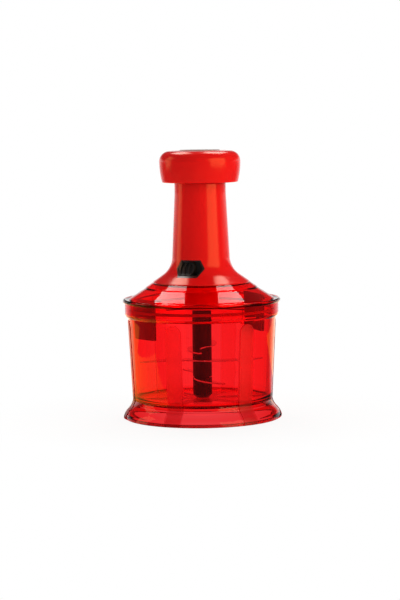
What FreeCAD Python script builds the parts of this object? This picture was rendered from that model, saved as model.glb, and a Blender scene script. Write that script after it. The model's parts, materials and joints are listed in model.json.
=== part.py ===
"""Hand press food chopper: a clear bowl on a flared foot, and a pump lid that spins three S-shaped blades.

The origin is the centre of the base on the table, +Z is up and the front is -Y. Lengths are in millimetres.
"""
import FreeCAD, Part
import Sketcher
import math
import os

os.makedirs("parts", exist_ok=True)
doc = FreeCAD.newDocument("food_chopper")
sheet = doc.addObject("Spreadsheet::Sheet", "Sizes")
V = FreeCAD.Vector
UP = V(0, 0, 1)
ORIGIN = V(0, 0, 0)


class Dim:
    """A size that carries both its number and the expression that gives it."""

    def __init__(self, number, text):
        self.number = number
        self.text = text

    def __add__(self, other):
        other = as_dim(other)
        return Dim(self.number + other.number, f"({self.text} + {other.text})")

    def __sub__(self, other):
        other = as_dim(other)
        return Dim(self.number - other.number, f"({self.text} - {other.text})")

    def __mul__(self, other):
        other = as_dim(other)
        return Dim(self.number * other.number, f"({self.text} * {other.text})")

    def __truediv__(self, other):
        other = as_dim(other)
        return Dim(self.number / other.number, f"({self.text} / {other.text})")

    def __neg__(self):
        return Dim(-self.number, f"(0 - {self.text})")

    def __float__(self):
        return float(self.number)


def as_dim(value):
    return value if isinstance(value, Dim) else Dim(float(value), repr(float(value)))


def write_cell(alias, content, number):
    write_cell.row += 1
    sheet.set(f"A{write_cell.row}", alias)
    sheet.set(f"B{write_cell.row}", content)
    sheet.setAlias(f"B{write_cell.row}", alias)
    return Dim(number, f"Sizes.{alias}")


write_cell.row = 0


def size(alias, number):
    """Write one driving dimension into the sheet and hand back its handle."""
    return write_cell(alias, str(number), number)


def derived(alias, value):
    """Write a dimension that follows others into the sheet and hand back its handle."""
    return write_cell(alias, "=" + value.text.replace("Sizes.", ""), value.number)


# Foot ring and bowl
foot_r = size("foot_r", 69.5)
foot_top = size("foot_top", 16.6)
foot_lift = size("foot_lift", 0.8)
foot_wall = size("foot_wall", 2.4)
foot_rim = size("foot_rim", 4.6)
foot_edge = size("foot_edge", 2.6)
grip_wide = size("grip_wide", 1.8)
grip_sunk = size("grip_sunk", 1.6)
bowl_low_r = size("bowl_low_r", 61.1)
bowl_wall = size("bowl_wall", 2.5)
floor_rise = size("floor_rise", 0.4)
floor_top = derived("floor_top", foot_top + floor_rise)
floor_wall = size("floor_wall", 2.5)
floor_round = size("floor_round", 5.0)
spigot_drop = size("spigot_drop", 4.2)
collar_r = size("collar_r", 67.6)
collar_step = size("collar_step", 2.75)
bowl_top_r = derived("bowl_top_r", collar_r - collar_step)
collar_round = size("collar_round", 4.4)
rim_top = size("rim_top", 102.0)
collar_high = size("collar_high", 13.0)
collar_low = derived("collar_low", rim_top - collar_high)
rim_wall = size("rim_wall", 2.7)
rebate = size("rebate", 10.5)
strip_count = size("strip_count", 6)
strip_wide = size("strip_wide", 14.8)
strip_proud = size("strip_proud", 0.5)
strip_gap = size("strip_gap", 1.7)
strip_top = derived("strip_top", collar_low - strip_gap)
strip_turn = size("strip_turn", -23.0)
lug_wide = size("lug_wide", 14.0)
lug_drop = size("lug_drop", 2.4)
boss_r = size("boss_r", 6.0)
boss_drop = size("boss_drop", 5.0)
pin_r = size("pin_r", 3.0)
pin_high = size("pin_high", 15.0)
pin_top = derived("pin_top", floor_top + pin_high)

# Fits shared by mating pieces
slip = size("slip", 0.2)
running = size("running", 0.06)
air = size("air", 0.4)

# Lid
flare_edge_r = size("flare_edge_r", 42.0)
seat_step = size("seat_step", 0.8)
seat_r = derived("seat_r", flare_edge_r + seat_step)
seat_land = size("seat_land", 3.0)
opening_r = derived("opening_r", flare_edge_r - seat_land)
lid_wall = size("lid_wall", 2.4)
lid_ring_wide = size("lid_ring_wide", 5.8)
lid_ring_r = derived("lid_ring_r", seat_r + lid_ring_wide)
lid_ring_high = size("lid_ring_high", 0.9)
brim_over = size("brim_over", 1.7)
brim_r = derived("brim_r", collar_r + brim_over)
brim_wide = size("brim_wide", 6.8)
cone_r = derived("cone_r", brim_r - brim_wide)
brim_high = size("brim_high", 3.5)
brim_top = derived("brim_top", rim_top + brim_high)
brim_round = size("brim_round", 1.6)
gutter = size("gutter", 0.5)
cone_rise = size("cone_rise", 0.8)
cone_low = derived("cone_low", brim_top + cone_rise)
cone_high = size("cone_high", 13.2)
seat_z = derived("seat_z", cone_low + cone_high)
skirt_wall = size("skirt_wall", 1.9)
skirt_gap = size("skirt_gap", 0.6)
skirt_drop = size("skirt_drop", 9.4)
skirt_low = derived("skirt_low", rim_top - skirt_drop)
seal_drop = size("seal_drop", 7.0)
seal_z = derived("seal_z", rim_top - seal_drop)
seal_high = size("seal_high", 2.4)
seal_deep = size("seal_deep", 1.1)
tab_drop = size("tab_drop", 29.0)
tab_low = derived("tab_low", rim_top - tab_drop)
tab_gap = size("tab_gap", 0.4)
tab_wall = size("tab_wall", 3.0)
tab_arc = size("tab_arc", 26.0)
tab_turn = size("tab_turn", -55.0)

# Neck
flare_edge = size("flare_edge", 0.9)
flare_edge_z = derived("flare_edge_z", seat_z + flare_edge)
flare_high = size("flare_high", 21.1)
flare_over = size("flare_over", 1.1)
flare_r = derived("flare_r", flare_high - flare_over)
neck_low_z = derived("neck_low_z", flare_edge_z + flare_high)
neck_low_r = size("neck_low_r", 25.3)
neck_high = size("neck_high", 65.2)
neck_top = derived("neck_top", neck_low_z + neck_high)
neck_top_r = size("neck_top_r", 22.5)
neck_straight = size("neck_straight", 8.8)
neck_wall = size("neck_wall", 2.4)
neck_spigot = size("neck_spigot", 2.2)

# Plunger
travel = size("travel", 50.0)
tube_r = size("tube_r", 17.0)
tube_wall = size("tube_wall", 2.4)
tube_lift = size("tube_lift", 20.1)
tube_low = derived("tube_low", seat_z - lid_wall + tube_lift)
knob_gap = size("knob_gap", 0.5)
knob_low = derived("knob_low", neck_top + knob_gap)
knob_r = size("knob_r", 35.55)
knob_draw = size("knob_draw", 2.35)
knob_low_r = derived("knob_low_r", knob_r - knob_draw)
knob_side = size("knob_side", 18.4)
knob_wide_z = derived("knob_wide_z", knob_low + knob_side)
knob_round = size("knob_round", 8.9)
knob_crown = size("knob_crown", 0.5)
knob_edge = size("knob_edge", 0.8)
knob_wall = size("knob_wall", 2.6)
disc_r = size("disc_r", 17.4)
disc_thick = size("disc_thick", 1.6)
disc_proud = size("disc_proud", 0.4)
screw_r = size("screw_r", 1.5)
screw_head_r = size("screw_head_r", 3.2)
screw_head = size("screw_head", 2.0)
screw_count = size("screw_count", 3)
screw_turn = size("screw_turn", 38.0)
screw_boss_r = size("screw_boss_r", 3.6)

# Drive
plate_lap = size("plate_lap", 2.0)
plate_r = derived("plate_r", opening_r + plate_lap)
plate_thick = size("plate_thick", 3.2)
hub_r = size("hub_r", 10.0)
hub_high = size("hub_high", 6.2)
bush_wall = size("bush_wall", 2.4)
flange_thick = size("flange_thick", 1.0)
journal_r = size("journal_r", 5.0)
journal_flats = size("journal_flats", 8.0)
spindle_r = size("spindle_r", 6.0)
spindle_reach = size("spindle_reach", 63.8)
spindle_top = derived("spindle_top", tube_low + spindle_reach)
lead = size("lead", 40.0)
starts = size("starts", 3)
groove_deep = size("groove_deep", 1.6)
groove_wide = size("groove_wide", 4.8)
nut_high = size("nut_high", 10.0)
nut_flange = size("nut_flange", 2.0)
nut_flange_r = size("nut_flange_r", 18.5)
wire = size("wire", 1.6)
coil_r = size("coil_r", 12.2)
coil_turns = size("coil_turns", 5)
clutch_r = size("clutch_r", 13.5)
clutch_bore = size("clutch_bore", 9.0)
clutch_thick = size("clutch_thick", 5.0)
tooth_high = size("tooth_high", 2.0)
tooth_count = size("tooth_count", 10)
cover_wall = size("cover_wall", 1.8)
cover_flange_r = size("cover_flange_r", 25.0)
stem_r = size("stem_r", 8.5)
hex_flats = size("hex_flats", 9.6)
hex_drop = size("hex_drop", 12.0)

# Blade unit
shaft_r = size("shaft_r", 8.4)
shaft_lift = size("shaft_lift", 0.6)
shaft_low = derived("shaft_low", floor_top + shaft_lift)
shaft_gap = size("shaft_gap", 0.5)
shaft_round = size("shaft_round", 1.4)
cap_slope = size("cap_slope", 3.0)
cap_high = size("cap_high", 17.6)
core_r = size("core_r", 5.0)
core_flats = size("core_flats", 8.0)
blade_thick = size("blade_thick", 1.2)
blade_gap = size("blade_gap", 3.6)
blade_reach = derived("blade_reach", bowl_low_r - bowl_wall - blade_gap)
lower_blade_z = derived("lower_blade_z", shaft_low + cap_high)
spacer_high = size("spacer_high", 13.4)
middle_blade_z = derived("middle_blade_z", lower_blade_z + blade_thick + spacer_high)
sleeve_high = size("sleeve_high", 11.2)
upper_blade_z = derived("upper_blade_z", middle_blade_z + blade_thick + sleeve_high)
clamp_high = size("clamp_high", 6.4)
upper_blade_turn = size("upper_blade_turn", 72.0)
middle_blade_turn = size("middle_blade_turn", -4.5)
lower_blade_turn = size("lower_blade_turn", 93.5)

# Lock
lock_turn = size("lock_turn", -22.0)
lock_rise = size("lock_rise", 12.6)
lock_z = derived("lock_z", flare_edge_z + lock_rise)
lock_wide = size("lock_wide", 26.2)
lock_high = size("lock_high", 14.6)
lock_point = size("lock_point", 4.0)
lock_floor = size("lock_floor", 22.0)
bezel_wall = size("bezel_wall", 1.4)
lock_travel = size("lock_travel", 5.8)
ridge_count = size("ridge_count", 3)
ridge_wide = size("ridge_wide", 1.3)
ridge_step = size("ridge_step", 4.4)
ridge_high = size("ridge_high", 1.6)
tongue_wide = size("tongue_wide", 5.2)
tongue_thick = size("tongue_thick", 1.4)
tongue_left = size("tongue_left", 8.2)

# Places worked out from the sizes
grip_inner = foot_r - foot_rim + (foot_rim - grip_wide) / 2
grip_top = foot_lift + grip_sunk
spigot_r = bowl_low_r - foot_wall - slip
rim_inner = collar_r - rim_wall
plate_top = seat_z - lid_wall
plate_low = plate_top - plate_thick
skirt_r = rim_inner - skirt_gap
skirt_inner = skirt_r - skirt_wall
lid_corner = brim_top - lid_wall
lid_fall = (plate_top - lid_corner) / (skirt_inner - plate_r - air)
wall_lean = (bowl_top_r - bowl_low_r) / (rim_top - rebate - floor_top)
tab_low_r = derived("tab_low_r", bowl_low_r - bowl_wall + (tab_low - floor_top) * wall_lean - tab_gap)
tab_r = derived("tab_r", bowl_top_r - bowl_wall - tab_gap)
neck_spigot_r = opening_r - slip
neck_inner_r = neck_spigot_r - neck_wall
hub_top = plate_top + hub_high
bush_r = journal_r + running + bush_wall
collar_z = hub_top + flange_thick + running
thread_low = collar_z + flange_thick * 2
groove_middle = thread_low + groove_wide / 2 + flange_thick
driver_top = plate_low - flange_thick
driver_low = driver_top - clutch_thick
driver_tips = driver_low - tooth_high
coupling_tips = driver_tips - air
coupling_top = coupling_tips - tooth_high
coupling_low = coupling_top - clutch_thick + flange_thick
cover_floor = coupling_low - cover_wall
cover_low = cover_floor - cover_wall
stem_low = cover_low - air
hex_low = stem_low - hex_drop
shaft_top = stem_low - shaft_gap
knob_top = knob_wide_z + knob_round + knob_crown
disc_floor = knob_top + disc_proud - disc_thick
screw_seat = disc_floor - screw_head - slip
tube_top = screw_seat - knob_wall
nut_low = tube_low - nut_flange
upper_clamp_top = upper_blade_z + blade_thick + clamp_high
screw_ring = neck_inner_r + flange_thick / 2 - screw_boss_r
screw_x = screw_ring * math.sin(math.radians(screw_turn.number))
screw_y = screw_ring * -math.cos(math.radians(screw_turn.number))
cover_screw_ring = (cover_flange_r + clutch_r + air + cover_wall) / 2
cover_screw_x = cover_screw_ring * math.sin(math.radians(screw_turn.number))
cover_screw_y = cover_screw_ring * -math.cos(math.radians(screw_turn.number))
tongue_x = -tongue_left
tongue_z = tube_low + air
FRONT = "XZ_Plane"
LEVEL = "XY_Plane"
FLARE_FALL = 0.70
FLARE_WALL = 1.9
POINT_INSET = 1.15
FLAT_INSET = 0.6
FOOT_HOLLOW = 0.95
FOOT_SWELL = 0.9
FOOT_MIDDLE = 0.5
BLADE_HUB = 0.9
BLADE_SWEEP = math.radians(14.5)
BLADE_BACK = 1.1
TOOTH_HALF = 0.34
GROOVE_TAPER = 0.7
PIN_CROWN = 1.25
LIP_DEPTH = 1.5
BOSS_RISE = 1.4
FLAT_SPAN = 1.5
TOOTH_SINK = 0.1
TOOTH_LONG = 0.8
CLUTCH_LEAF = 0.6
SAME_PLACE = 0.01
SPRING_STEPS = 48
ZERO = as_dim(0)
nodes = {}


def root(value):
    return Dim(math.sqrt(value.number), f"sqrt({value.text})")


def start_body(label):
    body = doc.addObject("PartDesign::Body", label)
    body.Label = label
    nodes[label] = body
    return body


def origin_of(body, role):
    return next(item for item in body.Origin.OriginFeatures if item.Role == role)


def sketch_on(body, name, role, height=None):
    """A sketch on one of the body's own planes, raised along the plane's normal where a height is given."""
    sketch = body.newObject("Sketcher::SketchObject", name)
    sketch.AttachmentSupport = [(origin_of(body, role), "")]
    sketch.MapMode = "FlatFace"
    if height is not None:
        sketch.setExpression("AttachmentOffset.Base.z", as_dim(height).text)
    return sketch


def drive(sketch, constraint, value):
    index = sketch.addConstraint(constraint)
    sketch.setExpression(f"Constraints[{index}]", value.text)


def pin_point(sketch, curve, end, place):
    """Hold one end of a curve at a place given by two sizes."""
    for kind, axis, value in (("DistanceX", -2, place[0]), ("DistanceY", -1, place[1])):
        if isinstance(value, Dim):
            drive(sketch, Sketcher.Constraint(kind, -1, 1, curve, end, value.number), value)
        else:
            sketch.addConstraint(Sketcher.Constraint("PointOnObject", curve, end, axis))


def arc_between(first, last, radius, side):
    """The shorter arc from first to last, turning left for side 1 and right for side -1."""
    chord = last - first
    middle = (first + last) * 0.5
    left = V(-chord.y, chord.x, 0) * (1 / chord.Length)
    rise = math.sqrt(max(radius ** 2 - (chord.Length / 2) ** 2, 0))
    centre = middle + left * (rise * side)
    begin, finish = (first, last) if side > 0 else (last, first)
    start_angle = math.atan2(begin.y - centre.y, begin.x - centre.x)
    end_angle = math.atan2(finish.y - centre.y, finish.x - centre.x)
    return Part.ArcOfCircle(Part.Circle(centre, UP, radius), start_angle, end_angle)


class Free(tuple):
    """A corner whose starting place is only a guess: tangency settles it."""


def outline(sketch, corners, arcs=None, smooth=()):
    """Close a chain through the corners; arcs maps a run to its radius and turning side."""
    arcs = arcs or {}
    count = len(corners)
    runs = []
    for i, corner in enumerate(corners):
        follower = corners[(i + 1) % count]
        first = V(float(corner[0]), float(corner[1]), 0)
        last = V(float(follower[0]), float(follower[1]), 0)
        if i in arcs:
            radius, side = arcs[i]
            curve = sketch.addGeometry(arc_between(first, last, float(radius), side), False)
            runs.append((curve, 1, 2) if side > 0 else (curve, 2, 1))
        else:
            runs.append((sketch.addGeometry(Part.LineSegment(first, last), False), 1, 2))
    for i, (curve, _, end) in enumerate(runs):
        after, begin, _ = runs[(i + 1) % count]
        kind = "Tangent" if (i + 1) % count in smooth else "Coincident"
        sketch.addConstraint(Sketcher.Constraint(kind, curve, end, after, begin))
    for (curve, begin, _), corner in zip(runs, corners):
        if not isinstance(corner, Free):
            pin_point(sketch, curve, begin, corner)
    for i, (radius, _) in arcs.items():
        drive(sketch, Sketcher.Constraint("Radius", runs[i][0], float(radius)), as_dim(radius))


def circle(sketch, radius, x=0, y=0):
    curve = sketch.addGeometry(Part.Circle(V(float(x), float(y), 0), UP, float(radius)), False)
    pin_point(sketch, curve, 3, (x, y))
    drive(sketch, Sketcher.Constraint("Radius", curve, float(radius)), as_dim(radius))


def hexagon(sketch, flats):
    turn = math.pi / 3
    half = flats / math.sqrt(3)
    outline(sketch, [(half * math.cos(turn * i + turn / 2), half * math.sin(turn * i + turn / 2))
                     for i in range(6)])


def double_flat(sketch, radius, flats):
    """A round with two parallel flats."""
    high = flats / 2
    wide = root(radius * radius - high * high)
    outline(sketch, [(wide, -high), (wide, high), (-wide, high), (-wide, -high)],
            arcs={0: (radius, 1), 2: (radius, 1)})


def revolve(body, name, corners, arcs=None, smooth=()):
    sketch = sketch_on(body, name + "_profile", FRONT)
    outline(sketch, corners, arcs, smooth)
    feature = body.newObject("PartDesign::Revolution", name)
    feature.Profile = sketch
    feature.ReferenceAxis = (sketch, ["V_Axis"])
    feature.Angle = 360
    return feature


def turned(label, corners, arcs=None, smooth=()):
    """A piece of its own made by one revolve."""
    body = start_body(label)
    revolve(body, label + "_turn", corners, arcs, smooth)
    return body


def ring(label, inner, outer, low, high):
    return turned(label, [(inner, low), (outer, low), (outer, high), (inner, high)])


def pad(body, name, draw, low, height):
    sketch = sketch_on(body, name + "_profile", LEVEL, low)
    draw(sketch)
    feature = body.newObject("PartDesign::Pad", name)
    feature.Profile = sketch
    feature.setExpression("Length", as_dim(height).text)
    return feature


def pocket(body, name, draw, top, depth):
    """Cut downwards from the level called top."""
    sketch = sketch_on(body, name + "_profile", LEVEL, top)
    draw(sketch)
    feature = body.newObject("PartDesign::Pocket", name)
    feature.Profile = sketch
    feature.setExpression("Length", as_dim(depth).text)
    return feature


def around(body, feature, count):
    """Repeat a feature about the body's upright axis."""
    pattern = body.newObject("PartDesign::PolarPattern", feature.Name + "_set")
    pattern.Originals = [feature]
    pattern.Axis = (origin_of(body, "Z_Axis"), [""])
    pattern.Angle = 360
    pattern.setExpression("Occurrences", count.text)
    body.Tip = pattern


def drill(body, name, radius, x, y, top, depth):
    """Equal round holes for the screws, cut downwards and set about the axis."""
    hole = pocket(body, name, lambda sketch: circle(sketch, radius, x, y), top, depth)
    around(body, hole, screw_count)


def round_edges(body, name, radius, wanted):
    """Round every circular edge of the body's tip that lies at one of the wanted (radius, level) places."""
    doc.recompute()
    base = body.Tip
    found = []
    for i, edge in enumerate(base.Shape.Edges):
        box = edge.BoundBox
        for edge_r, level in wanted:
            level_fits = max(abs(box.ZMin - float(level)), abs(box.ZMax - float(level))) < SAME_PLACE
            if level_fits and abs(box.XMax - float(edge_r)) < SAME_PLACE:
                found.append(f"Edge{i + 1}")
    feature = body.newObject("PartDesign::Fillet", name)
    feature.Base = (base, found)
    feature.setExpression("Radius", as_dim(radius).text)
    body.Tip = feature
    return feature


def tool(name, shape):
    """A helper solid that a later cut or fuse uses."""
    feature = doc.addObject("Part::Feature", name)
    feature.Shape = shape
    return feature


def combine(kind, label, base, other):
    """Cut or fuse two objects into the piece called label."""
    feature = doc.addObject(kind, label + "_made")
    feature.Base = base
    feature.Tool = other
    feature.Label = label
    nodes[label] = feature
    return feature


def set_around(shape, count, first_turn):
    """Copies of a front-facing shape, evenly spaced about the axis from the first turn."""
    step = 360 / count
    return Part.makeCompound([shape.rotated(ORIGIN, UP, first_turn + step * i) for i in range(count)])


def upright_face(curves):
    """A face in the XZ plane from curves drawn with X across and Y up."""
    wire = Part.Wire([curve.toShape() for curve in curves])
    return Part.Face(wire).rotated(ORIGIN, V(1, 0, 0), 90)


def chain(places, arcs=None):
    """Curves of a closed chain through plain points, with arcs given as in outline."""
    arcs = arcs or {}
    points = [V(float(x), float(y), 0) for x, y in places]
    curves = []
    for i, first in enumerate(points):
        last = points[(i + 1) % len(points)]
        if i in arcs:
            curves.append(arc_between(first, last, float(arcs[i][0]), arcs[i][1]))
        else:
            curves.append(Part.LineSegment(first, last))
    return curves


def turned_solid(curves):
    return upright_face(curves).revolve(ORIGIN, UP, 360)


def front_prism(curves, inner, outer):
    """A prism standing off the front of the axis, from the inner to the outer distance."""
    face = upright_face(curves)
    face.translate(V(0, -float(inner), 0))
    return face.extrude(V(0, -float(outer - inner), 0))


def strip_outline(low):
    """An arch-topped strip, drawn up from the level called low."""
    half = strip_wide / 2
    shoulder = strip_top - half
    return chain([(-half, low), (half, low), (half, shoulder), (0, strip_top), (-half, shoulder)],
                 arcs={2: (half, 1), 3: (half, 1)})


def strip_set(name, skin, low):
    """The strips all round: a skin of one depth, kept only inside the strip outlines."""
    strip = skin.common(front_prism(strip_outline(low), ZERO, foot_r + collar_r))
    return tool(name, set_around(strip, int(strip_count.number), strip_turn.number))


def make_foot():
    """The flared foot: an S-curved ring with a groove below for the grip and six raised strips."""
    rise = foot_top - foot_lift
    hollow = rise * FOOT_HOLLOW
    swell = rise * FOOT_SWELL
    mid_r = bowl_low_r + (foot_r - bowl_low_r) * FOOT_MIDDLE
    mid_z = foot_lift + rise * FOOT_MIDDLE
    spigot_low = foot_top - spigot_drop - foot_wall / 2
    grip_outer = grip_inner + grip_wide
    inner = foot_r - foot_rim
    body = start_body("foot_body")
    revolve(body, "foot_turn",
            [(bowl_low_r, foot_top), (mid_r, mid_z), (foot_r, foot_lift), (grip_outer, foot_lift),
             (grip_outer, grip_top), (grip_inner, grip_top), (grip_inner, foot_lift), (inner, foot_lift),
             (inner, foot_lift + foot_edge), (bowl_low_r - foot_wall, spigot_low),
             (bowl_low_r - foot_wall, foot_top)],
            arcs={0: (hollow, 1), 1: (swell, -1)})
    low = strip_proud
    skin = turned_solid(chain([(bowl_low_r + low, foot_top), (mid_r + low, mid_z), (foot_r + low, foot_lift),
                               (foot_r - low, foot_lift), (mid_r - low, mid_z), (bowl_low_r - low, foot_top)],
                              arcs={0: (hollow, 1), 1: (swell, -1), 3: (swell, 1), 4: (hollow, -1)}))
    del nodes["foot_body"]
    combine("Part::Fuse", "foot_ring", body, strip_set("foot_strips", skin, foot_lift))
    ring("non_slip_ring", grip_inner + running, grip_outer - running, ZERO, grip_top)


def make_bowl():
    """The bowl: a drafted wall with strips, a rebated and lugged collar, and a socket for the pivot pin."""
    bulge = collar_round - (collar_r - bowl_top_r)
    collar_full = collar_low + root(collar_round * collar_round - bulge * bulge)
    floor_low = floor_top - floor_wall
    pin_hole = pin_r + running
    pin_low = floor_low - boss_drop + floor_wall / 2
    body = start_body("bowl_body")
    revolve(body, "bowl_turn",
            [(0, floor_low - boss_drop), (boss_r, floor_low - boss_drop), (boss_r, floor_low),
             (spigot_r - bowl_wall, floor_low), (spigot_r - bowl_wall, foot_top - spigot_drop),
             (spigot_r, foot_top - spigot_drop), (spigot_r, foot_top), (bowl_low_r, foot_top),
             (bowl_top_r, collar_low), (collar_r, collar_full), (collar_r, rim_top), (rim_inner, rim_top),
             (rim_inner, rim_top - rebate), (bowl_top_r - bowl_wall, rim_top - rebate),
             (bowl_low_r - bowl_wall, floor_top), (pin_hole, floor_top), (pin_hole, pin_low), (0, pin_low)],
            arcs={8: (collar_round, 1)})
    round_edges(body, "bowl_floor_round", floor_round, [(bowl_low_r - bowl_wall, floor_top)])
    low = strip_proud
    skin = turned_solid(chain([(bowl_low_r - low, foot_top), (bowl_low_r + low, foot_top),
                               (bowl_top_r + low, collar_low), (bowl_top_r - low, collar_low)]))
    strips = strip_set("bowl_strips", skin, foot_top)
    lug_skin = turned_solid(chain([(bowl_top_r - low, collar_low - lug_drop), (collar_r + low, collar_full),
                                   (collar_r + low, rim_top), (collar_r - low, rim_top)]))
    half = lug_wide / 2
    lug_face = chain([(-half, ZERO), (half, ZERO), (half, rim_top), (-half, rim_top)])
    lug = lug_skin.common(front_prism(lug_face, ZERO, foot_r + collar_r))
    lug_turn = strip_turn.number + 360 / strip_count.number
    lugs = tool("collar_lugs", set_around(lug, 2, lug_turn))
    del nodes["bowl_body"]
    banded = combine("Part::Fuse", "banded_bowl", body, strips)
    del nodes["banded_bowl"]
    combine("Part::Fuse", "bowl", banded, lugs)
    turned("pivot_pin", [(0, pin_low), (pin_r, pin_low), (pin_r, pin_top - pin_r / 2), (0, pin_top)],
           arcs={2: (pin_r * PIN_CROWN, 1)})


def draw_core(sketch):
    double_flat(sketch, core_r, core_flats)


def draw_core_hole(sketch):
    double_flat(sketch, core_r + running, core_flats + running * 2)


def sleeve(label, low, high):
    """A black sleeve on the flatted core of the blade shaft."""
    body = start_body(label)

    def draw(sketch):
        circle(sketch, shaft_r)
        draw_core_hole(sketch)

    pad(body, label + "_pad", draw, low, high - low)
    return body


def blade(label, low, turn):
    """A flat S-shaped blade: two sickle arms turned about a hole that fits the flatted core."""
    body = start_body(label)
    hub = shaft_r * BLADE_HUB
    tip_x = blade_reach * math.cos(BLADE_SWEEP)
    tip_y = blade_reach * math.sin(BLADE_SWEEP)
    tip_cut = blade_thick * 2
    root_x = shaft_r / 4
    back_r = blade_reach * BLADE_BACK
    along = math.cos(math.radians(turn.number))
    across = math.sin(math.radians(turn.number))
    arm = [(root_x, -hub), (tip_x, tip_y), (tip_x - tip_cut, tip_y + tip_cut)]
    arm = [(x * along - y * across, x * across + y * along) for x, y in arm]

    def draw(sketch):
        outline(sketch, arm + [(-x, -y) for x, y in arm],
                arcs={0: (blade_reach, 1), 2: (back_r, -1), 3: (blade_reach, 1), 5: (back_r, -1)})
        draw_core_hole(sketch)

    pad(body, label + "_pad", draw, low, blade_thick)
    return body


def make_blade_unit():
    """The black shaft: a head with a hex socket, a flatted core, and sleeves that clamp the three blades."""
    core_low = shaft_low + clamp_high
    body = start_body("blade_shaft")
    pad(body, "shaft_core", draw_core, core_low, upper_clamp_top - core_low)
    head_high = shaft_top - upper_clamp_top
    pad(body, "shaft_head", lambda sketch: circle(sketch, shaft_r), upper_clamp_top, head_high)
    socket = shaft_top - hex_low + air
    pocket(body, "hex_socket", lambda sketch: hexagon(sketch, hex_flats + air), shaft_top, socket)
    pin_hole = pin_top + slip - core_low
    pocket(body, "pin_socket", lambda sketch: circle(sketch, pin_r + running), core_low + pin_hole, pin_hole)
    round_edges(body, "shaft_shoulder", shaft_round, [(shaft_r, shaft_top)])
    sleeve("blade_clamp_upper", upper_blade_z + blade_thick, upper_clamp_top)
    sleeve("blade_clamp_lower", middle_blade_z + blade_thick, upper_blade_z)
    sleeve("blade_spacer", lower_blade_z + blade_thick, middle_blade_z)
    blade("upper_blade", upper_blade_z, upper_blade_turn)
    blade("middle_blade", middle_blade_z, middle_blade_turn)
    blade("lower_blade", lower_blade_z, lower_blade_turn)
    cap = start_body("shaft_end_cap")

    def draw_cap(sketch):
        circle(sketch, shaft_r)
        circle(sketch, pin_r + running)

    pad(cap, "cap_pad", draw_cap, shaft_low, lower_blade_z - shaft_low)
    pocket(cap, "cap_core", draw_core_hole, lower_blade_z, lower_blade_z - core_low)
    chamfer_low_rim(cap)


def chamfer_low_rim(cap):
    """The sloping lower end of the shaft's end cap."""
    doc.recompute()
    base = cap.Tip
    low_rim = [f"Edge{i + 1}" for i, edge in enumerate(base.Shape.Edges)
               if abs(edge.BoundBox.ZMax - shaft_low.number) < SAME_PLACE
               and abs(edge.BoundBox.XMax - shaft_r.number) < SAME_PLACE]
    slope = cap.newObject("PartDesign::Chamfer", "cap_slope")
    slope.Base = (base, low_rim)
    slope.setExpression("Size", cap_slope.text)
    cap.Tip = slope


def make_lid():
    """The clear lid: a raised ring and a cone above a thin brim, and a skirt in the bowl's rebate."""
    ring_foot_r = lid_ring_r + lid_ring_high
    cone_wide = cone_r - seat_r
    cone_top = seat_z - lid_ring_high
    ring_foot_z = cone_top - (cone_top - cone_low) * ((ring_foot_r - seat_r) / cone_wide)
    ring_edge_z = seat_z - (seat_z - cone_low) * ((lid_ring_r - seat_r) / cone_wide)
    seal_r = skirt_r - seal_deep
    seal_top = seal_z + seal_high
    lip_r = brim_r - brim_round
    turned("lid",
           [(opening_r, plate_top), (plate_r + air, plate_top), (skirt_inner, lid_corner),
            (skirt_inner, skirt_low), (skirt_r, skirt_low), (skirt_r, seal_z), (seal_r, seal_z),
            (seal_r, seal_top), (skirt_r, seal_top), (skirt_r, rim_top), (lip_r, rim_top),
            (brim_r, rim_top + brim_round), (brim_r, brim_top - brim_round), (lip_r, brim_top),
            (cone_r + brim_round, brim_top - gutter), (cone_r, cone_low), (ring_foot_r, ring_foot_z),
            (lid_ring_r, ring_edge_z), (seat_r, seat_z), (opening_r, seat_z)],
           arcs={10: (brim_round, 1), 12: (brim_round, 1)})
    ring("lid_seal", seal_r, rim_inner - air, seal_z, seal_top)


def make_tabs():
    """Two opaque tabs that hang from the lid along the bowl's wall, with their tops under the lid's cone."""
    inner = tab_low_r - tab_wall
    outer_top = lid_corner + (skirt_inner - tab_r) * lid_fall - running
    inner_top = outer_top + (tab_r - inner) * lid_fall
    corners = [(inner, tab_low), (tab_low_r, tab_low), (tab_r, rim_top - rebate), (tab_r, outer_top),
               (inner, inner_top)]
    first_side = -90 - tab_arc.number / 2
    section = upright_face(chain(corners)).rotated(ORIGIN, UP, first_side)
    tab = section.revolve(ORIGIN, UP, tab_arc.number)
    feature = tool("lid_tabs", set_around(tab, 2, tab_turn.number))
    nodes["lid_tabs"] = feature


def flare_end(bend, start_r, edge_r, edge_z):
    """About where a line up from the flare's edge touches the bend that starts under the neck's taper."""
    lean = math.atan2(float(neck_low_r - neck_top_r), float(neck_high - neck_straight))
    across = float(start_r) + float(bend) * math.cos(lean) - float(edge_r)
    up = float(neck_low_z) + float(bend) * math.sin(lean) - float(edge_z)
    apart = math.hypot(across, up)
    run = math.sqrt(apart ** 2 - float(bend) ** 2)
    way = math.atan2(up, across) + math.asin(float(bend) / apart)
    return Free((float(edge_r) + run * math.cos(way), float(edge_z) + run * math.sin(way)))


def neck_runs():
    """The neck's outer corners from its top to the seat; tangency settles where the flare's arc ends."""
    return [(neck_top_r, neck_top), (neck_top_r, neck_top - neck_straight), (neck_low_r, neck_low_z),
            flare_end(flare_r, neck_low_r, flare_edge_r, flare_edge_z), (flare_edge_r, flare_edge_z)]


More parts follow.
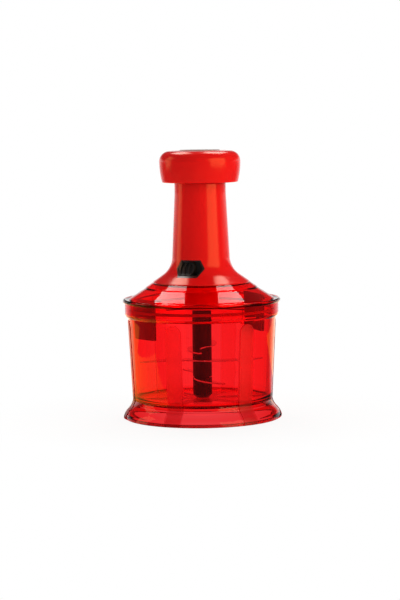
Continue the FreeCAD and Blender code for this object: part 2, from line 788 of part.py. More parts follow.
def make_neck():
    """The opaque neck: a slim tube that flares over the lid, with screw bosses and the lock's window."""
    outer = neck_runs()
    inner_low_z = flare_edge_z + (flare_edge_r - neck_inner_r) * FLARE_FALL - neck_wall * FLARE_WALL
    inner_end = flare_end(flare_r + neck_wall, neck_low_r - neck_wall, neck_inner_r, inner_low_z)
    body = start_body("neck_body")
    step = neck_top - flange_thick * LIP_DEPTH
    inner_top_r = neck_top_r - neck_wall
    bush_seat_r = neck_top_r - neck_wall / 2
    revolve(body, "neck_turn",
            outer + [(flare_edge_r, seat_z), (neck_spigot_r, seat_z), (neck_spigot_r, seat_z - neck_spigot),
                     (neck_inner_r, seat_z - neck_spigot), (neck_inner_r, inner_low_z), inner_end,
                     (neck_low_r - neck_wall, neck_low_z), (inner_top_r, neck_top - neck_straight),
                     (inner_top_r, step), (bush_seat_r, step), (bush_seat_r, neck_top)],
            arcs={2: (flare_r, 1), 10: (flare_r + neck_wall, -1)}, smooth=(2, 3, 10, 11))
    boss_high = flare_edge_z + neck_wall * BOSS_RISE - plate_top
    boss = pad(body, "screw_boss", lambda sketch: circle(sketch, screw_boss_r, screw_x, screw_y),
               plate_top, boss_high)
    around(body, boss, screw_count)
    deep = boss_high - flange_thick
    drill(body, "screw_hole", screw_r + running, screw_x, screw_y, plate_top + deep, deep)
    round_edges(body, "neck_top_round", flange_thick / 2, [(neck_top_r, neck_top)])
    del nodes["neck_body"]
    return body


def neck_core(sunk):
    """The neck's outer form as a full solid, drawn in by the sunk distance."""
    doc.recompute()
    profile = doc.getObject("neck_turn_profile")
    runs = [profile.Geometry[i] for i in range(4)]
    for run in runs:
        run.translate(V(-sunk, 0, 0))
    top = runs[0].StartPoint
    low = runs[3].EndPoint
    closing = [Part.LineSegment(low, V(0, low.y, 0)), Part.LineSegment(V(0, low.y, 0), V(0, top.y, 0)),
               Part.LineSegment(V(0, top.y, 0), top)]
    return turned_solid(runs + closing)


def lock_hexagon(inset):
    """The lock window's long six-sided outline, drawn in by the inset on every side."""
    half = lock_wide / 2 - inset * POINT_INSET
    high = lock_high / 2 - inset
    flat = lock_wide / 2 - lock_point - inset * FLAT_INSET
    low_z = lock_z - high
    top_z = lock_z + high
    return chain([(-half, lock_z), (-flat, low_z), (flat, low_z), (half, lock_z), (flat, top_z),
                  (-flat, top_z)])


def slider_outline():
    """The slider: a pointed left end like the window's, and a bowed right end."""
    clear = bezel_wall + air
    half = lock_wide / 2 - clear * POINT_INSET
    flat = lock_wide / 2 - lock_point - clear * FLAT_INSET
    high = lock_high / 2 - clear
    corner = flat - lock_travel
    rise = lock_point / 2
    bow = (high * high + rise * rise) / lock_point
    return chain([(-half, lock_z), (-flat, lock_z - high), (corner, lock_z - high), (corner, lock_z + high),
                  (-flat, lock_z + high)], arcs={2: (bow, 1)})


def ridge_outline(left, side):
    """One finger ridge of the slider, bowed to the left for a side of 1 and to the right for -1."""
    high = lock_high / 2 - bezel_wall - air * 2
    bow = lock_high / 2
    right = left + ridge_wide
    low_z = lock_z - high
    top_z = lock_z + high
    return chain([(left, low_z), (right, low_z), (right, top_z), (left, top_z)],
                 arcs={1: (bow, -side), 3: (bow, side)})


def make_lock(neck_body):
    """The slide lock: a window in the neck, a black bezel, a ridged slider and its tongue."""
    back = lock_floor - bezel_wall
    window = front_prism(lock_hexagon(-running), back, foot_r)
    turned_window = tool("lock_window", window.rotated(ORIGIN, UP, lock_turn.number))
    combine("Part::Cut", "neck_housing", neck_body, turned_window)
    slot_low = tongue_z - slip
    slot_high = tongue_z + tongue_thick + slip
    left = tongue_x - slip
    right = tongue_x + tongue_wide + lock_travel + slip
    slot = front_prism(chain([(left, slot_low), (right, slot_low), (right, slot_high), (left, slot_high)]),
                       ZERO, foot_r)
    tub = front_prism(lock_hexagon(ZERO), back, foot_r)
    tub = tub.cut(front_prism(lock_hexagon(bezel_wall), lock_floor, foot_r))
    bezel = tub.common(neck_core(slip.number)).cut(slot)
    place_lock("lock_bezel", bezel)
    slider_back = lock_floor + slip
    block = front_prism(slider_outline(), slider_back, foot_r)
    base = block.common(neck_core(ridge_high.number + air.number))
    ridge_zone = block.common(neck_core(air.number))
    end = lock_wide / 2 - lock_point - (bezel_wall + air) * FLAT_INSET
    outlines = [ridge_outline(ridge_step * i - end, 1) for i in range(int(ridge_count.number))]
    outlines.append(ridge_outline(end - lock_travel - ridge_wide, -1))
    ridges = [front_prism(outline, slider_back, foot_r).common(ridge_zone) for outline in outlines]
    place_lock("lock_slider", base.fuse(ridges).removeSplitter())
    tongue_low = nut_flange_r + slip * 2
    tongue_end = tongue_x + tongue_wide
    tongue_top = tongue_z + tongue_thick
    tongue = front_prism(chain([(tongue_x, tongue_z), (tongue_end, tongue_z), (tongue_end, tongue_top),
                                (tongue_x, tongue_top)]), tongue_low, slider_back)
    place_lock("lock_tongue", tongue)


def place_lock(label, shape):
    """Stand one front-built lock piece at the lock's place round the neck."""
    feature = doc.addObject("Part::Feature", label)
    feature.Label = label
    feature.Shape = shape
    feature.Placement = FreeCAD.Placement(ORIGIN, FreeCAD.Rotation(UP, lock_turn.number))
    nodes[label] = feature


def make_knob():
    """The press knob: a hollow cap with a domed shoulder, a socket for the tube and a bare disc on top."""
    drop = knob_wide_z - knob_low
    draw_in = knob_r - knob_low_r
    side_bow = (drop * drop + draw_in * draw_in) / (draw_in * 2)
    shoulder_r = knob_r - knob_round
    shoulder_z = knob_wide_z + knob_round
    recess = disc_r + slip
    head = screw_head_r + slip
    hole = screw_r + slip
    socket = tube_r + running
    socket_low = knob_low + knob_wall
    socket_outer = socket + knob_wall
    ceiling_z = shoulder_z - knob_wall
    inner_round = knob_round - knob_wall
    knob = turned("knob",
                  [(knob_low_r, knob_low), (knob_r, knob_wide_z), (shoulder_r, shoulder_z),
                   (recess, knob_top), (recess, disc_floor), (head, disc_floor), (head, screw_seat),
                   (hole, screw_seat), (hole, tube_top), (socket, tube_top), (socket, socket_low),
                   (socket_outer, socket_low), (socket_outer, ceiling_z), (shoulder_r, ceiling_z),
                   (knob_r - knob_wall, knob_wide_z), (knob_low_r - knob_wall, knob_low)],
                  arcs={0: (side_bow, 1), 1: (knob_round, 1), 13: (inner_round, -1), 14: (side_bow, -1)})
    round_edges(knob, "knob_edge_round", knob_edge, [(knob_low_r, knob_low)])
    turned("knob_disc", [(0, disc_floor), (disc_r, disc_floor), (disc_r, disc_floor + disc_thick),
                         (0, disc_floor + disc_thick)])
    turned("knob_screw", screw_profile(screw_seat, screw_seat - knob_wall * 2))
    inner = tube_r - tube_wall
    ceiling = tube_top - knob_wall
    pilot = screw_r + running
    turned("plunger_tube", [(inner, tube_low), (tube_r, tube_low), (tube_r, tube_top), (pilot, tube_top),
                            (pilot, ceiling), (inner, ceiling)])


def screw_profile(seat, tip):
    """Half section of a pan head screw pointing down from its seat."""
    return [(0, tip), (screw_r, tip + screw_r), (screw_r, seat), (screw_head_r, seat),
            (screw_head_r, seat + screw_head / 2), (0, seat + screw_head)]


def helix(body, kind, name, corners, height, count):
    """Sweep a small section up the axis at the spindle's lead, repeated for every start."""
    sketch = sketch_on(body, name + "_profile", FRONT)
    outline(sketch, corners)
    feature = body.newObject(kind, name)
    feature.Profile = sketch
    feature.ReferenceAxis = (sketch, ["V_Axis"])
    feature.Mode = 0
    feature.setExpression("Pitch", lead.text)
    feature.setExpression("Height", height.text)
    around(body, feature, count)


def make_spindle():
    """The steep three-start spindle that the nut turns, with a collar, a journal and clutch flats."""
    clip_low = driver_low - flange_thick
    clip_seat_r = journal_flats / 2 - flange_thick / 2
    spindle_low = clip_low - flange_thick / 2
    body = turned("drive_spindle",
                  [(0, spindle_low), (journal_r, spindle_low), (journal_r, clip_low), (clip_seat_r, clip_low),
                   (clip_seat_r, driver_low), (journal_r, driver_low), (journal_r, collar_z),
                   (spindle_r + flange_thick * 2, collar_z), (spindle_r + flange_thick * 2, thread_low),
                   (spindle_r, thread_low), (spindle_r, spindle_top - flange_thick),
                   (spindle_r - flange_thick, spindle_top), (0, spindle_top)])
    flat_r = journal_r * FLAT_SPAN

    def draw_flats(sketch):
        circle(sketch, flat_r)
        double_flat(sketch, journal_r + running, journal_flats)

    pocket(body, "journal_flat", draw_flats, driver_top, driver_top - spindle_low + slip)
    half = groove_wide / 2
    middle = groove_middle
    floor = spindle_r - groove_deep
    crest = spindle_r + air
    helix(body, "PartDesign::SubtractiveHelix", "spindle_groove",
          [(floor, middle - half * GROOVE_TAPER), (crest, middle - half), (crest, middle + half),
           (floor, middle + half * GROOVE_TAPER)], spindle_top - middle + half, starts)
    washer_r = hub_r - flange_thick
    ring("thrust_washer", journal_r + running, washer_r, driver_top + slip / 2, plate_low - slip / 2)
    ring("spindle_clip", clip_seat_r + running, journal_r + bush_wall, clip_low, driver_low)


def make_nut():
    """The flanged nut in the tube's lower end, with a lug in each groove of the spindle."""
    bore = spindle_r + air
    plug_r = tube_r - tube_wall - running
    plug_top = tube_low + nut_high
    body = turned("drive_nut",
                  [(bore, nut_low), (nut_flange_r, nut_low), (nut_flange_r, tube_low),
                   (plug_r, tube_low), (plug_r, plug_top), (bore, plug_top)])
    half = groove_wide / 2 - air
    tip = spindle_r - groove_deep + air
    middle = nut_low + half + flange_thick / 2
    back = bore + flange_thick
    helix(body, "PartDesign::AdditiveHelix", "nut_lug",
          [(tip, middle - half * GROOVE_TAPER), (back, middle - half), (back, middle + half),
           (tip, middle + half * GROOVE_TAPER)], nut_high - half * 2, starts)
    body.setExpression("Placement.Rotation.Angle", ((middle - groove_middle) / lead * 360).text)


def make_bearings():
    """What the lid carries for the drive: bearing plate, spindle bush, guide bush and drive cover."""
    bush_hole = bush_r + running
    plate = turned("bearing_plate",
                   [(bush_hole, plate_low), (plate_r, plate_low), (plate_r, plate_top), (hub_r, plate_top),
                    (hub_r, hub_top), (bush_hole, hub_top)])
    pilot = plate_thick - flange_thick / 2
    drill(plate, "plate_hole", screw_r + slip, screw_x, screw_y, plate_top, plate_thick)
    drill(plate, "cover_pilot", screw_r + running, cover_screw_x, cover_screw_y, plate_low + pilot, pilot)
    bore = journal_r + running
    turned("spindle_bearing",
           [(bore, plate_low), (bush_r, plate_low), (bush_r, hub_top), (hub_r - slip, hub_top),
            (hub_r - slip, hub_top + flange_thick), (bore, hub_top + flange_thick)])
    guide_low = tube_low + travel + air * 2
    guide_bore = tube_r + running
    guide_r = neck_top_r - neck_wall - running
    lip_r = neck_top_r - neck_wall / 2 - running
    step = neck_top - flange_thick * LIP_DEPTH
    turned("guide_bush",
           [(guide_bore, guide_low), (guide_r, guide_low), (guide_r, step), (lip_r, step), (lip_r, neck_top),
            (guide_bore, neck_top)])
    inner = clutch_r + air
    outer = inner + cover_wall
    flange_low = plate_low - cover_wall
    stem_hole = stem_r + running
    cover = turned("drive_cover",
                   [(stem_hole, cover_low), (outer, cover_low), (outer, flange_low),
                    (cover_flange_r, flange_low), (cover_flange_r, plate_low), (inner, plate_low),
                    (inner, cover_floor), (stem_hole, cover_floor)])
    drill(cover, "cover_hole", screw_r + slip, cover_screw_x, cover_screw_y, plate_low, cover_wall)


def screw_group(label, seat, tip, ring_r, turn):
    """Equal screws with their heads below, set round the axis as one node."""
    single = turned_solid(chain(screw_profile(-seat, -tip))).rotated(ORIGIN, V(1, 0, 0), 180)
    single.translate(V(0, -ring_r.number, 0))
    feature = doc.addObject("Part::Feature", label)
    feature.Label = label
    feature.Shape = set_around(single, int(screw_count.number), turn.number)
    nodes[label] = feature


def make_screws():
    screw_group("plate_screws", plate_low, flare_edge_z + flange_thick, screw_ring, screw_turn)
    cover_tip = plate_top - flange_thick
    screw_group("cover_screws", plate_low - cover_wall, cover_tip, cover_screw_ring, screw_turn)


def teeth(body, name, base, rise):
    """Saw teeth on a ring face, standing up for a positive rise and hanging down for a negative one."""
    half = clutch_bore * TOOTH_HALF
    tip = base + rise
    sink = base - rise * TOOTH_SINK
    sketch = sketch_on(body, name + "_profile", FRONT, clutch_bore + slip)
    outline(sketch, [(-half, sink), (half, sink), (half, tip), (-half, base)])
    feature = body.newObject("PartDesign::Pad", name)
    feature.Profile = sketch
    feature.setExpression("Length", ((clutch_r - clutch_bore) * TOOTH_LONG).text)
    around(body, feature, tooth_count)


def make_clutch():
    """The one-way clutch: a toothed driver, and a coupling whose hex dog turns the blade shaft."""
    driver = start_body("clutch_driver")

    def draw_driver(sketch):
        circle(sketch, clutch_r)
        double_flat(sketch, journal_r + running * 2, journal_flats + running * 2)

    pad(driver, "driver_pad", draw_driver, driver_low, clutch_thick)
    teeth(driver, "driver_tooth", driver_low, -tooth_high)
    coupling = start_body("drive_coupling")
    pad(coupling, "coupling_hex", lambda sketch: hexagon(sketch, hex_flats), hex_low, stem_low - hex_low)
    pad(coupling, "coupling_stem", lambda sketch: circle(sketch, stem_r), stem_low, coupling_low - stem_low)
    disc_high = coupling_top - coupling_low
    pad(coupling, "coupling_disc", lambda sketch: circle(sketch, clutch_r), coupling_low, disc_high)
    recess = flange_thick * 2
    pocket(coupling, "coupling_recess", lambda sketch: circle(sketch, clutch_bore), coupling_top, recess)
    teeth(coupling, "coupling_tooth", coupling_top, tooth_high)
    thick = flange_thick * CLUTCH_LEAF
    inner = stem_r + slip
    outer = clutch_r - slip
    turned("clutch_spring",
           [(inner, coupling_low - thick), (outer, cover_floor), (outer, cover_floor + thick),
            (inner, coupling_low)])


def tangent_arc(first, corner, last):
    """The arc from first to last whose end tangents meet at the corner."""
    legs = (first - corner).Length
    chord_middle = (first + last) * 0.5
    half_turn = math.acos(min(1, (chord_middle - first).Length / legs))
    inward = (chord_middle - corner).normalize()
    return Part.Arc(first, corner + inward * (legs * math.tan(half_turn / 2)), last)


def biarc(first, first_way, last, last_way):
    """Two arcs that leave first along its tangent and reach last along its own."""
    span = last - first
    ways = first_way + last_way
    across = span.dot(ways)
    bend = 2 * (1 - first_way.dot(last_way))
    reach = (math.sqrt(across ** 2 + bend * span.dot(span)) - across) / bend
    near = first + first_way * reach
    far = last - last_way * reach
    middle = (near + far) * 0.5
    return [tangent_arc(first, near, middle), tangent_arc(middle, far, last)]


def make_return_spring():
    """The coil round the plate's hub that lifts the plunger, as one wire wound in quarter turns."""
    low = (plate_top + wire / 2 + running).number
    high = (nut_low - wire / 2 - running).number
    turns = coil_turns.number
    climb = (high - low) / (turns * 2 * math.pi)
    length = math.hypot(coil_r.number, climb)

    def place(angle):
        return V(coil_r.number * math.cos(angle), coil_r.number * math.sin(angle), low + climb * angle)

    def way(angle):
        return V(-coil_r.number * math.sin(angle), coil_r.number * math.cos(angle), climb) * (1 / length)

    quarter = math.pi / 2
    curves = []
    for i in range(int(turns * 4)):
        begin, finish = quarter * i, quarter * (i + 1)
        curves += biarc(place(begin), way(begin), place(finish), way(finish))
    path = Part.Wire([curve.toShape() for curve in curves])
    section = Part.Wire([Part.Circle(place(0), way(0), wire.number / 2).toShape()])
    feature = doc.addObject("Part::Feature", "return_spring")
    feature.Label = "return_spring"
    feature.Shape = path.makePipeShell([section], True, False)
    nodes["return_spring"] = feature
    points = [place(2 * math.pi * i / SPRING_STEPS) for i in range(int(turns * SPRING_STEPS) + 1)]
    half = SPRING_STEPS // 2
    gap = min((b - a).Length for i, a in enumerate(points) for b in points[i + half:]) - wire.number
    print(f"return spring: least gap to itself {gap:.2f} mm")


def check_and_write():
    """Refuse a failed object or a bad solid, then write one file for each piece."""
    doc.recompute()
    for item in doc.Objects:
        if "Invalid" in item.State or "Error" in item.State:
            raise RuntimeError(f"{item.Label} failed: {item.getStatusString()}")
    for label, piece in nodes.items():
        if piece.Shape.isNull() or not piece.Shape.isValid() or not piece.Shape.Solids:
            raise RuntimeError(f"{label} has no valid solid")
    for label, piece in nodes.items():
        piece.Shape.exportStep(f"parts/{label}.step")


make_foot()
make_bowl()
make_blade_unit()
make_lid()
make_tabs()
make_lock(make_neck())
make_knob()
make_spindle()
make_nut()
make_bearings()
make_screws()
make_clutch()
make_return_spring()
check_and_write()
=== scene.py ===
import json
import math

import bpy
from mathutils import Matrix, Vector

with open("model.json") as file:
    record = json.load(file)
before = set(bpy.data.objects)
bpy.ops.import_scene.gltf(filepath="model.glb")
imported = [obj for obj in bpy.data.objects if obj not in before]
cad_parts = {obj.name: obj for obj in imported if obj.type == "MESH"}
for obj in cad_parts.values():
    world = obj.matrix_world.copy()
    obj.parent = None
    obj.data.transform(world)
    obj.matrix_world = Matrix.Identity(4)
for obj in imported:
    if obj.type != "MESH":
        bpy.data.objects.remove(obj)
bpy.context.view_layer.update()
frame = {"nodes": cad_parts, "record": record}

# Camera: the photograph's frame is 400 x 600 pixels; lengths are in metres
FRAME_PIXELS = 600
SENSOR_MM = 36.0
METRES_PER_PIXEL = 0.00088
CAMERA_PLACE = Vector((-0.00133, -1.82, 0.275))
CAMERA_AIM = Vector((-0.00133, 0, 0.1035))
ROLL = math.radians(0.74)

# Colours of the studio and of its lamps
WHITE = (1.0, 1.0, 1.0, 1.0)
PAPER = (0.9, 0.9, 0.9, 1.0)
DARK = (0.06, 0.05, 0.05, 1.0)
WARM = (1.0, 0.55, 0.3, 1.0)
AMBER = (1.0, 0.33, 0.02, 1.0)
PINK = (1.0, 0.93, 0.9, 1.0)

# Clear plastic; refraction is kept low where the lid's rim and the foot would turn dark after many bounces
CLEAR = (1.0, 0.9, 0.88, 1.0)
TINT = (0.995, 0.17, 0.22, 1.0)
TINT_DENSITY = 900.0
FOOT_TINT = (0.975, 0.12, 0.17, 1.0)
FOOT_STRIP = (0.8, 0.45, 0.5, 1.0)
WALL_REFRACTION = 1.42
RIM_REFRACTION = 1.3
CLEAR_ROUGH = (0.0, 0.03)
CLEAR_GRAIN = 60.0

# Moulding grain
GRAIN_DETAIL = 4.0
RELIEF_DEPTH = 0.0002

# The frosted strips on the bowl and foot
STRIP_COUNT = 6
STRIP_TURN = math.radians(-23)
STRIP_HALF = 0.0074
STRIP_TOP = 0.0873
STRIP_FADE = 0.95
FROST = 0.35

# The room and floor; in gloss each goes from dark to white over its own span towards the back, and the
# room's white falls off above and below the horizon
ROOM_LIGHT = 0.28
ROOM_SPAN = (0.0, 0.6)
FLOOR_SPAN = (0.6, 0.95)
HEIGHT_FALL = 4.0
FLOOR_HALF = 6.0
SHADOW_REACH = (0.07, 0.2)
SHADOW_WHITE = 0.9

# Softboxes: place, aim, width, height, power in watts and colour
SOFTBOXES = {
    "right_softbox": ((1.3, -1.0, 0.6), (0, 0, 0.12), 1.5, 1.4, 23, WARM),
    "left_softbox": ((-1.6, 0.3, 0.6), (0, 0, 0.12), 0.7, 1.4, 6, WARM),
    "left_top_softbox": ((-0.48, 1.0, 1.5), (-0.48, 1.0, 0), 0.5, 1.2, 12, PINK),
    "right_top_softbox": ((0.37, 1.0, 1.5), (0.37, 1.0, 0), 0.58, 1.2, 13, PINK),
}

# Low panels beside and behind the object, hidden from direct view: their spans across and along the floor
PANELS = {
    "left_floor_panel": ((-0.33, -0.075), (-0.1, 0.8)),
    "left_back_panel": ((-0.5, -0.33), (0.18, 0.8)),
    "right_floor_panel": ((0.075, 0.42), (0.22, 0.8)),
}
PANEL_Z = 0.004
PANEL_AIM_Z = 1.0
PANEL_GLOW = 1.2

# Opaque looks: colour, range of roughness, strength of relief, scale of grain and what else differs
OPAQUE = {
    "red_gloss": ((0.8, 0.01, 0.012), (0.14, 0.2), 0.04, 300.0, {"Specular Tint": WARM}),
    # dark_red is a darker copy of the red: painted shade for the lid's tabs, which stand in shadow behind the
    # bowl's wall
    "dark_red": ((0.24, 0.004, 0.006), (0.35, 0.5), 0.1, 500.0, {}),
    "black_plastic": ((0.012, 0.012, 0.013), (0.28, 0.4), 0.15, 900.0, {"Specular IOR Level": 0.25}),
    "lock_black": ((0.014, 0.015, 0.016), (0.28, 0.36), 0.1, 900.0, {"Specular IOR Level": 0.8}),
    "white_plastic": ((0.78, 0.77, 0.74), (0.3, 0.45), 0.1, 600.0, {}),
    "steel": ((0.62, 0.62, 0.63), (0.08, 0.16), 0.1, 700.0, {"Metallic": 1.0}),
    "spring_steel": ((0.45, 0.45, 0.46), (0.25, 0.4), 0.1, 700.0, {"Metallic": 1.0}),
    "bronze": ((0.55, 0.38, 0.18), (0.35, 0.5), 0.2, 900.0, {"Metallic": 1.0}),
    "red_silicone": ((0.5, 0.012, 0.014), (0.4, 0.55), 0.1, 500.0, {}),
    "grey_disc": ((0.4, 0.4, 0.41), (0.3, 0.42), 0.15, 900.0, {}),
}

# Nodes whose look differs from their slot's
OWN_LOOK = {
    "bowl": "red_banded",
    "foot_ring": "red_foot",
    "drive_cover": "red_gloss",
    "lock_bezel": "lock_black",
    "lock_slider": "lock_black",
}

scene = bpy.context.scene


def empty_tree(owner):
    """The node tree of a material or world, cleared."""
    owner.use_nodes = True
    owner.node_tree.nodes.clear()
    return owner.node_tree


def add(tree, kind, values=None):
    """A shader node with its constant inputs set on their own sockets."""
    node = tree.nodes.new(kind)
    for name, value in (values or {}).items():
        node.inputs[name].default_value = value
    return node


def combine(tree, operation, *terms):
    """A maths node over sockets and constants."""
    node = tree.nodes.new("ShaderNodeMath")
    node.operation = operation
    for socket, term in zip(node.inputs, terms):
        if isinstance(term, (int, float)):
            socket.default_value = term
        else:
            tree.links.new(term, socket)
    return node.outputs["Value"]


def length(tree, first, second):
    """The hypotenuse of two values."""
    squares = [combine(tree, "MULTIPLY", side, side) for side in (first, second)]
    return combine(tree, "SQRT", combine(tree, "ADD", *squares))


def remap(tree, value, limits):
    """The value carried into another range and held at its ends."""
    node = add(tree, "ShaderNodeMapRange", limits)
    tree.links.new(value, node.inputs["Value"])
    return node.outputs["Result"]


def colour_ramp(tree, factor, span, low, high):
    """A colour that goes from low to high as the factor crosses the span."""
    ramp = tree.nodes.new("ShaderNodeValToRGB")
    for stop, position, colour in zip(ramp.color_ramp.elements, span, (low, high)):
        stop.position = position
        stop.color = colour
    tree.links.new(factor, ramp.inputs["Fac"])
    return ramp.outputs["Color"]


def axes(tree, space):
    """The shaded point's three coordinates in the given space."""
    coords = tree.nodes.new("ShaderNodeTexCoord")
    split = tree.nodes.new("ShaderNodeSeparateXYZ")
    tree.links.new(coords.outputs[space], split.inputs["Vector"])
    return [split.outputs[axis] for axis in "XYZ"]


def finish_tree(tree, surface, kind="ShaderNodeOutputMaterial"):
    """The tree's output, with its surface linked."""
    output = tree.nodes.new(kind)
    tree.links.new(surface, output.inputs["Surface"])
    return output


def surface_grain(tree, shader, rough, scale):
    """Fine moulding grain that slowly changes the roughness; hands back the grain and the roughness."""
    coords = tree.nodes.new("ShaderNodeTexCoord")
    noise = add(tree, "ShaderNodeTexNoise", {"Scale": scale, "Detail": GRAIN_DETAIL})
    tree.links.new(coords.outputs["Object"], noise.inputs["Vector"])
    grain = noise.outputs["Fac"]
    roughness = remap(tree, grain, {"To Min": rough[0], "To Max": rough[1]})
    tree.links.new(roughness, shader.inputs["Roughness"])
    return grain, roughness


def opaque(name, colour, rough, bump, scale, more):
    """A surface of one colour with its grain and a very slight relief."""
    material = bpy.data.materials.new(name)
    tree = empty_tree(material)
    shader = add(tree, "ShaderNodeBsdfPrincipled", {"Base Color": (*colour, 1.0), **more})
    grain, _ = surface_grain(tree, shader, rough, scale)
    relief = add(tree, "ShaderNodeBump", {"Strength": bump, "Distance": RELIEF_DEPTH})
    tree.links.new(grain, relief.inputs["Height"])
    tree.links.new(relief.outputs["Normal"], shader.inputs["Normal"])
    finish_tree(tree, shader.outputs["BSDF"])
    return material


def strip_mask(tree):
    """One on the bowl's and foot's raised strips, zero between them."""
    x, y, z = axes(tree, "Object")
    turn = combine(tree, "ARCTAN2", x, combine(tree, "MULTIPLY", y, -1.0))
    half_step = math.pi / STRIP_COUNT
    wrapped = combine(tree, "WRAP", combine(tree, "SUBTRACT", turn, STRIP_TURN), half_step, -half_step)
    across = combine(tree, "MULTIPLY", wrapped, length(tree, x, y))
    above = combine(tree, "MAXIMUM", combine(tree, "SUBTRACT", z, STRIP_TOP - STRIP_HALF), 0.0)
    edge = {"From Min": STRIP_HALF, "From Max": STRIP_HALF * STRIP_FADE}
    return remap(tree, length(tree, across, above), edge)


def clear_red(name, refraction, tint, strip_colour=None):
    """Tinted clear plastic: the wall's own depth makes the red, and any strips are frosted."""
    material = bpy.data.materials.new(name)
    tree = empty_tree(material)
    shader = add(tree, "ShaderNodeBsdfPrincipled",
                 {"Base Color": CLEAR, "IOR": refraction, "Transmission Weight": 1.0})
    _, roughness = surface_grain(tree, shader, CLEAR_ROUGH, CLEAR_GRAIN)
    if strip_colour:
        mask = strip_mask(tree)
        tree.links.new(combine(tree, "MULTIPLY_ADD", mask, FROST, roughness), shader.inputs["Roughness"])
        tree.links.new(colour_ramp(tree, mask, (0.0, 1.0), CLEAR, strip_colour), shader.inputs["Base Color"])
    output = finish_tree(tree, shader.outputs["BSDF"])
    depth = add(tree, "ShaderNodeVolumeAbsorption", {"Color": tint, "Density": TINT_DENSITY})
    tree.links.new(depth.outputs["Volume"], output.inputs["Volume"])
    return material


def dress():
    """Give every node its look."""
    looks = {
        "red_clear": clear_red("red_clear", RIM_REFRACTION, TINT),
        "red_banded": clear_red("red_banded", WALL_REFRACTION, TINT, CLEAR),
        "red_foot": clear_red("red_foot", RIM_REFRACTION, FOOT_TINT, FOOT_STRIP),
    }
    for name, values in OPAQUE.items():
        looks[name] = opaque(name, *values)
    for part in frame["record"]["subparts"]:
        materials = frame["nodes"][part["node"]].data.materials
        materials.clear()
        materials.append(looks[OWN_LOOK.get(part["node"], part["material_slot"])])


def facing(place, aim):
    """A transform that stands at a place and looks along its own -Z at the aim."""
    return Matrix.Translation(place) @ (aim - place).to_track_quat("-Z", "Y").to_matrix().to_4x4()


def make_camera():
    """The photograph's viewpoint: a long lens a little above the brim, with a slight roll."""
    camera = bpy.data.objects.new("camera", bpy.data.cameras.new("camera"))
    scene.collection.objects.link(camera)
    camera.matrix_world = facing(CAMERA_PLACE, CAMERA_AIM) @ Matrix.Rotation(-ROLL, 4, "Z")
    focal_pixels = (CAMERA_AIM - CAMERA_PLACE).length / METRES_PER_PIXEL
    camera.data.sensor_fit = "VERTICAL"
    camera.data.sensor_height = SENSOR_MM
    camera.data.lens = focal_pixels * SENSOR_MM / FRAME_PIXELS
    scene.camera = camera


def area_light(name, place, aim, wide, high, power, colour):
    """A rectangular soft lamp."""
    lamp = bpy.data.lights.new(name, "AREA")
    lamp.shape = "RECTANGLE"
    lamp.size = wide
    lamp.size_y = high
    lamp.energy = power
    lamp.color = colour[:3]
    holder = bpy.data.objects.new(name, lamp)
    scene.collection.objects.link(holder)
    holder.matrix_world = facing(Vector(place), Vector(aim))
    return holder


def floor_panel(name, across, along):
    """An amber panel that lies on the floor, faces up and is seen in gloss, not directly or through walls."""
    x, y = sum(across) / 2, sum(along) / 2
    wide, deep = across[1] - across[0], along[1] - along[0]
    power = PANEL_GLOW * math.pi * wide * deep
    panel = area_light(name, (x, y, PANEL_Z), (x, y, PANEL_AIM_Z), wide, deep, power, AMBER)
    panel.visible_camera = False
    panel.visible_transmission = False


def ray_kind(tree, *kinds):
    """One for rays of the given kinds, zero for the rest."""
    path = tree.nodes.new("ShaderNodeLightPath")
    total = path.outputs[kinds[0]]
    for kind in kinds[1:]:
        total = combine(tree, "MAXIMUM", total, path.outputs[kind])
    return total


def mix_shaders(tree, factor, low, high):
    """The low shader where the factor is zero and the high one where it is one."""
    mix = tree.nodes.new("ShaderNodeMixShader")
    for socket, source in zip(mix.inputs, (factor, low, high)):
        tree.links.new(source, socket)
    return mix.outputs["Shader"]


def studio_gloss(tree, kind, behind, span):
    """What gloss shows: the white background behind the object, and the dark studio in front."""
    glow = add(tree, kind, {"Strength": 1.0})
    tree.links.new(colour_ramp(tree, behind, span, DARK, WHITE), glow.inputs["Color"])
    return glow.outputs[0]


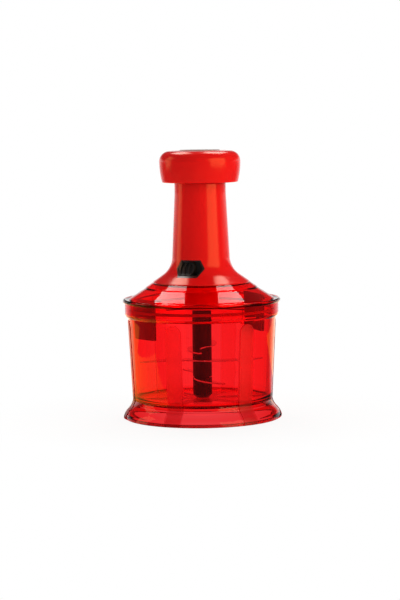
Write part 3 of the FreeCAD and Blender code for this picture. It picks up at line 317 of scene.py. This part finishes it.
def make_world():
    """A studio that is white to the eye and through clear walls, and dark in front in gloss."""
    scene.world = bpy.data.worlds.new("studio")
    tree = empty_tree(scene.world)
    room = add(tree, "ShaderNodeBackground", {"Color": WHITE, "Strength": ROOM_LIGHT})
    white = add(tree, "ShaderNodeBackground", {"Color": WHITE, "Strength": 1.0})
    _, y, z = axes(tree, "Generated")
    height = combine(tree, "MULTIPLY", combine(tree, "ABSOLUTE", z), HEIGHT_FALL)
    behind = combine(tree, "SUBTRACT", y, height)
    gloss = studio_gloss(tree, "ShaderNodeBackground", behind, ROOM_SPAN)
    unseen = mix_shaders(tree, ray_kind(tree, "Is Glossy Ray"), room.outputs["Background"], gloss)
    seen = ray_kind(tree, "Is Camera Ray", "Is Transmission Ray")
    finish_tree(tree, mix_shaders(tree, seen, unseen, white.outputs["Background"]), "ShaderNodeOutputWorld")


def make_floor():
    """A white floor that keeps the soft shadow near the object and fades into the white beyond."""
    mesh = bpy.data.meshes.new("floor")
    corners = [(-1, -1), (1, -1), (1, 1), (-1, 1)]
    mesh.from_pydata([(x * FLOOR_HALF, y * FLOOR_HALF, 0) for x, y in corners], [], [(0, 1, 2, 3)])
    floor = bpy.data.objects.new("floor", mesh)
    scene.collection.objects.link(floor)
    material = bpy.data.materials.new("floor_white")
    tree = empty_tree(material)
    paper = add(tree, "ShaderNodeBsdfDiffuse", {"Color": PAPER})
    white = add(tree, "ShaderNodeEmission", {"Color": WHITE, "Strength": 1.0})
    x, y, _ = axes(tree, "Object")
    distance = length(tree, x, y)
    gloss = studio_gloss(tree, "ShaderNodeEmission", combine(tree, "DIVIDE", y, distance), FLOOR_SPAN)
    unseen = mix_shaders(tree, ray_kind(tree, "Is Glossy Ray"), paper.outputs["BSDF"], gloss)
    near, far = SHADOW_REACH
    fade = remap(tree, distance, {"From Min": near, "From Max": far, "To Min": SHADOW_WHITE})
    seen = combine(tree, "MULTIPLY", ray_kind(tree, "Is Camera Ray", "Is Transmission Ray"), fade)
    finish_tree(tree, mix_shaders(tree, seen, unseen, white.outputs["Emission"]))
    floor.data.materials.append(material)


dress()
make_camera()
make_world()
make_floor()
for name, values in SOFTBOXES.items():
    area_light(name, *values)
for name, spans in PANELS.items():
    floor_panel(name, *spans)
scene.view_settings.view_transform = "Standard"
